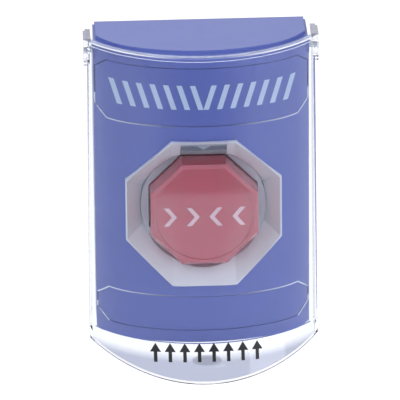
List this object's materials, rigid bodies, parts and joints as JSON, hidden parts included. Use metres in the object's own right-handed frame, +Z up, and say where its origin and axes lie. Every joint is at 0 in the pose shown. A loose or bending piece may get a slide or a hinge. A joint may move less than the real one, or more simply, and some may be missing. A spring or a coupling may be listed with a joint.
{
  "type": "wall-mounted push station",
  "caption": "Bow-fronted wall station with a red eight-sided push button in a sloping bezel, under a clear shield that lifts on a top hinge.",
  "frame": {"origin": "on the wall plane, in the middle of the housing's height and width, at the centre of the fixing slots", "axes": "+X to the right seen from the front, +Y into the wall, +Z up"},
  "size_m": [0.093, 0.053, 0.136],
  "materials": {
    "housing_blue": "fine-grained moulded plastic, deep blue",
    "label_blue": "satin plastic label plate, blue",
    "bezel_grey": "satin moulded plastic, pale lilac grey",
    "collar_grey": "satin moulded plastic, light grey",
    "button_red": "smooth moulded plastic, red",
    "plunger_white": "smooth acetal, natural white",
    "spring_steel": "drawn spring wire",
    "smoked_window": "smoked window plastic",
    "board_green": "green coated circuit board",
    "led_clear": "clear lamp resin",
    "bracket_grey": "moulded plastic, mid grey",
    "block_black": "moulded thermoset, black",
    "contact_brass": "stamped sheet metal, yellow",
    "screw_steel": "zinc-plated screw",
    "plate_blue": "moulded plastic, blue, unpolished",
    "clear_shield": "clear polished moulded sheet",
    "pin_steel": "ground stainless pin"
  },
  "bodies": {
    "base": {"housing": "housing_blue", "label_plate_upper": "label_blue", "label_plate_lower": "label_blue", "bezel": "bezel_grey", "button_collar": "collar_grey", "return_spring": "spring_steel", "indicator_window": "smoked_window", "led_board": "board_green", "indicator_led": "led_clear", "contact_bracket": "bracket_grey", "contact_block_left": "block_black", "contact_block_right": "block_black", "contact_strips_left": "contact_brass", "contact_strips_right": "contact_brass", "terminal_screws_left": "screw_steel", "terminal_screws_right": "screw_steel", "bezel_screws": "screw_steel", "block_screws": "screw_steel", "board_screws": "screw_steel", "housing_screws": "screw_steel", "back_plate": "plate_blue", "hinge_pin_left": "pin_steel", "hinge_pin_right": "pin_steel"},
    "shield": {"shield": "clear_shield"},
    "button": {"button_cap": "button_red", "button_plunger": "plunger_white", "cap_screw": "screw_steel"},
    "slider_left": {"contact_slider_left": "plunger_white", "contact_bridge_left": "contact_brass"},
    "slider_right": {"contact_slider_right": "plunger_white", "contact_bridge_right": "contact_brass"}
  },
  "joints": [
    {"name": "shield_hinge", "type": "hinge", "parent": "base", "child": "shield", "pos_m": [0, -0.0147, 0.0566], "axis": [-1, 0, 0], "range_deg": [0, 100]},
    {"name": "button_press", "type": "slide", "parent": "base", "child": "button", "axis": [0, 1, 0], "range_m": [0, 0.0035], "stiffness_N_per_m": 400, "springref_m": -0.005, "deforming": ["return_spring"]},
    {"name": "contact_travel_left", "type": "slide", "parent": "base", "child": "slider_left", "axis": [0, 1, 0], "range_m": [0, 0.0035]},
    {"name": "contact_travel_right", "type": "slide", "parent": "base", "child": "slider_right", "axis": [0, 1, 0], "range_m": [0, 0.0035]}
  ],
  "couplings": [
    {"joint": "contact_travel_left", "follows": "button_press", "ratio": 1},
    {"joint": "contact_travel_right", "follows": "button_press", "ratio": 1}
  ]
}
